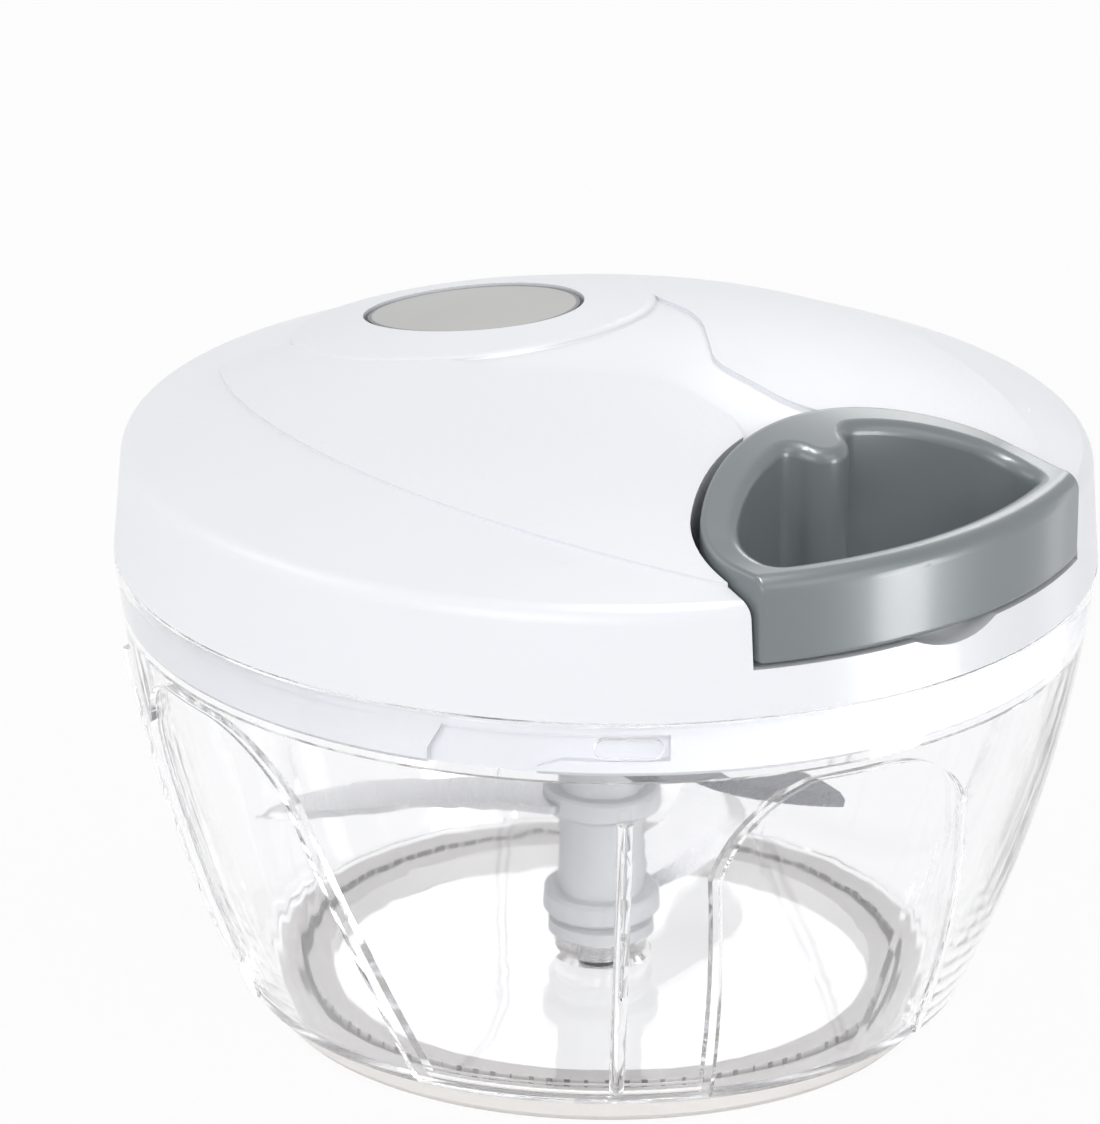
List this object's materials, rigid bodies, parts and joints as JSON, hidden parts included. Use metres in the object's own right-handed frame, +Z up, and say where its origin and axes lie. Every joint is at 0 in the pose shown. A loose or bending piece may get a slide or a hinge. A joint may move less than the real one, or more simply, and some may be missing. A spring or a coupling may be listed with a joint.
{
  "type": "pull-string food chopper",
  "caption": "Round clear bowl on a soft foot, domed twist-on lid with a recessed pull handle on a cord, and curved blades on a spindle inside.",
  "frame": {"origin": "middle of the foot ring's underside", "axes": "+Z up, +X toward the pull handle"},
  "size_m": [0.124, 0.124, 0.089],
  "materials": {
    "clear_plastic": "clear gloss",
    "cream_rubber": "soft matt",
    "white_cover": "fine grain",
    "white_plastic": "gloss",
    "grey_plastic": "gloss",
    "inner_plastic": "satin",
    "steel": "fine brushed",
    "cord": "braided"
  },
  "bodies": {
    "bowl": {"bowl": "clear_plastic", "foot_ring": "cream_rubber", "pivot_pin": "steel"},
    "blades": {"blade_spindle": "white_plastic", "blade_lower": "steel", "blade_middle": "steel", "blade_upper": "steel"},
    "bush": {"shaft_bush": "inner_plastic"},
    "lid": {"base_plate": "white_plastic", "top_cover": "white_cover", "badge_plate": "grey_plastic", "cover_screws": "steel", "reel_housing": "white_plastic", "housing_screws": "steel", "reel_arbor": "inner_plastic", "arbor_washer": "steel", "arbor_screw": "steel", "cord_eyelet": "steel", "cord_lead": "cord"},
    "reel": {"cord_reel": "inner_plastic", "cord_winding": "cord", "power_spring": "steel", "spring_cover": "inner_plastic"},
    "drive": {"drive_shaft": "inner_plastic"},
    "pawl_a": {"pawl_left": "inner_plastic"},
    "pawl_b": {"pawl_right": "inner_plastic"},
    "handle": {"pull_handle": "grey_plastic", "cord_end": "cord", "cord_knot": "cord"}
  },
  "joints": [
    {"name": "lid_lift", "type": "slide", "parent": "bowl", "child": "bush", "axis": [0, 0, 1], "range_m": [0, 0.065]},
    {"name": "lid_twist", "type": "hinge", "parent": "bush", "child": "lid", "pos_m": [0, 0, 0.06], "axis": [0, 0, 1], "range_deg": [0, 17.3]},
    {"name": "handle_pull", "type": "slide", "parent": "lid", "child": "handle", "axis": [1, 0, 0], "range_m": [0, 0.36], "stiffness_N_per_m": 16.7, "springref_m": -0.36},
    {"name": "reel_turn", "type": "hinge", "parent": "lid", "child": "reel", "pos_m": [0, 0, 0.072], "axis": [0, 0, 1], "range_deg": [-1150, 0]},
    {"name": "drive_turn", "type": "hinge", "parent": "lid", "child": "drive", "pos_m": [0, 0, 0.062], "axis": [0, 0, 1], "range_deg": [-1150, 0]},
    {"name": "blade_turn", "type": "hinge", "parent": "bowl", "child": "blades", "pos_m": [0, 0, 0.02], "axis": [0, 0, 1], "range_deg": [-1150, 0]},
    {"name": "pawl_a_tilt", "type": "hinge", "parent": "drive", "child": "pawl_a", "pos_m": [0.0082, 0, 0.067], "axis": [0, 0, 1], "range_deg": [0, 14]},
    {"name": "pawl_b_tilt", "type": "hinge", "parent": "drive", "child": "pawl_b", "pos_m": [-0.0082, 0, 0.067], "axis": [0, 0, 1], "range_deg": [0, 14]}
  ],
  "couplings": [
    {"joint": "reel_turn", "follows": "handle_pull", "rad_per_m": -55.556},
    {"joint": "drive_turn", "follows": "handle_pull", "rad_per_m": -55.556},
    {"joint": "blade_turn", "follows": "handle_pull", "rad_per_m": -55.556}
  ]
}
